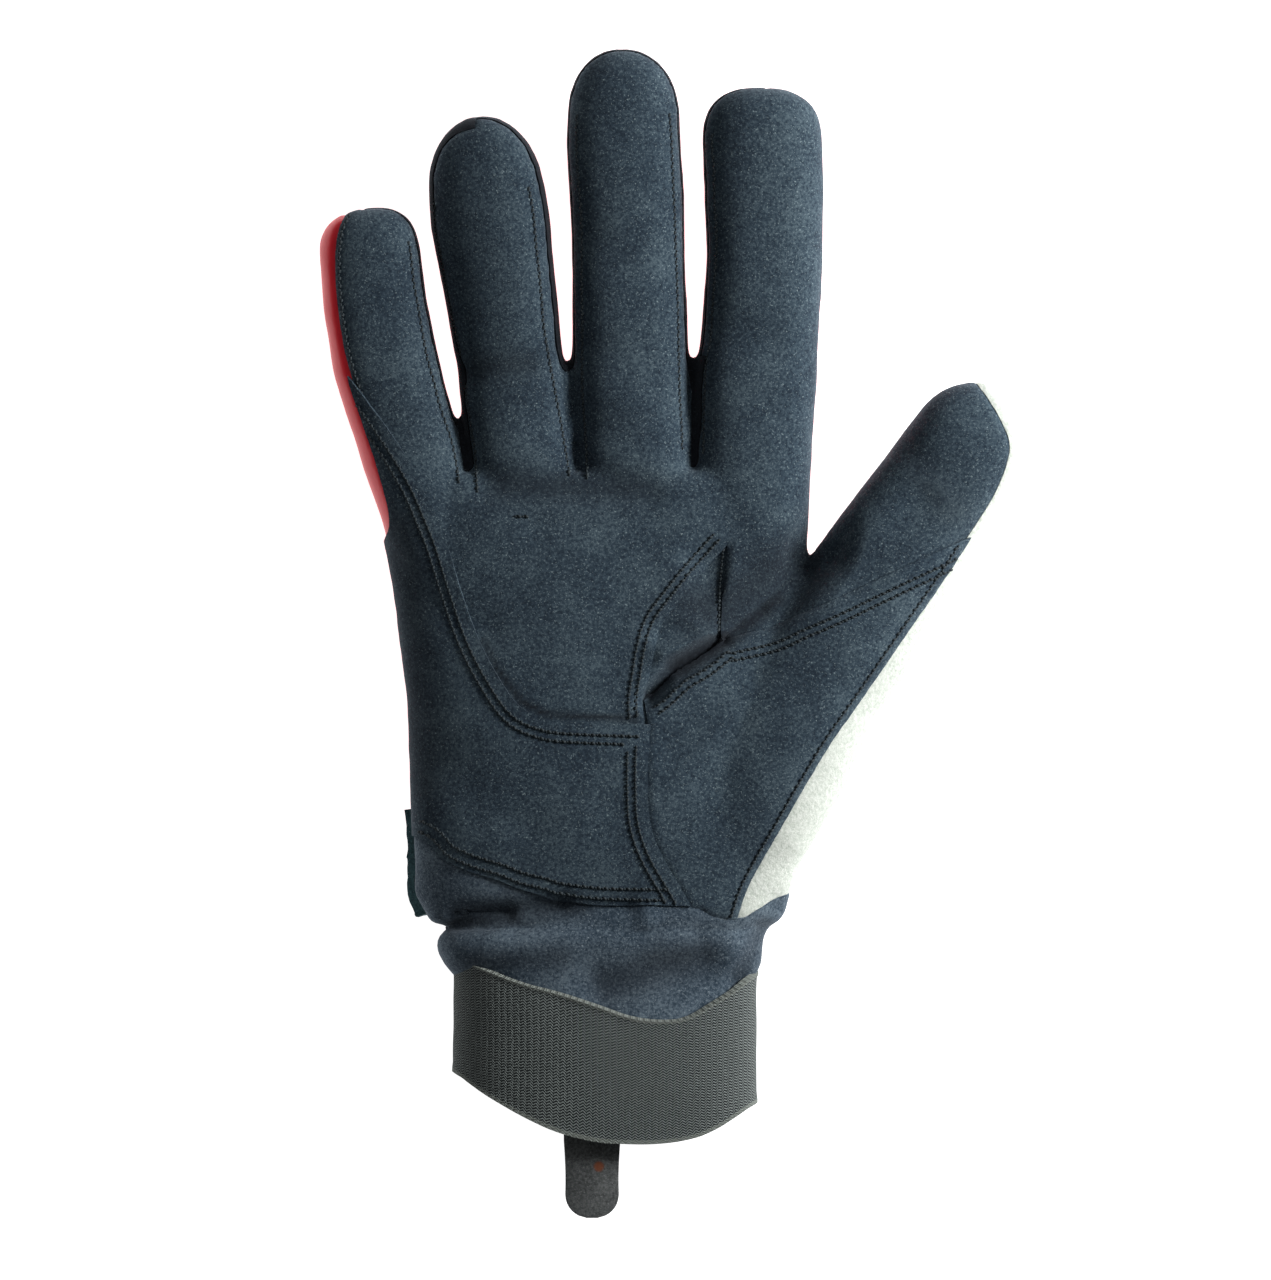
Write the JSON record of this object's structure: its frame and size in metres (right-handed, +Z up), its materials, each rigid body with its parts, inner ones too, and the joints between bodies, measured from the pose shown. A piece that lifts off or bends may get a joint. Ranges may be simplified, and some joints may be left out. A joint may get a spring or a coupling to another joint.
{
  "type": "batting glove",
  "caption": "Right-hand batting glove with a dark suede palm, sewn heel and thumb patches, a red back, a white thumb side, an elastic cuff and a pull tab.",
  "frame": {"origin": "under the middle of the glove, on the surface it lies on", "axes": "+Y towards the fingertips, +X towards the thumb, +Z up, out of the palm"},
  "size_m": [0.1534, 0.256, 0.0274],
  "materials": {
    "suede": "matt napped suede",
    "side_fabric": "matt",
    "red_back": "satin",
    "white_knit": "brushed knit",
    "elastic": "woven rib",
    "strap": "napped",
    "tab_leather": "matt"
  },
  "bodies": {
    "root": {"palm_panel": "suede", "back_panel": "red_back", "side_panel_little_ring": "side_fabric", "side_panel_ring_middle": "side_fabric", "side_panel_middle_index": "side_fabric", "thumb_front": "suede", "thumb_back": "white_knit", "web_gusset": "suede", "thumb_patch": "suede", "heel_patch": "suede", "wrist_panel": "side_fabric", "cuff_band": "elastic", "pull_tab": "tab_leather", "wrist_strap": "strap"}
  },
  "joints": []
}
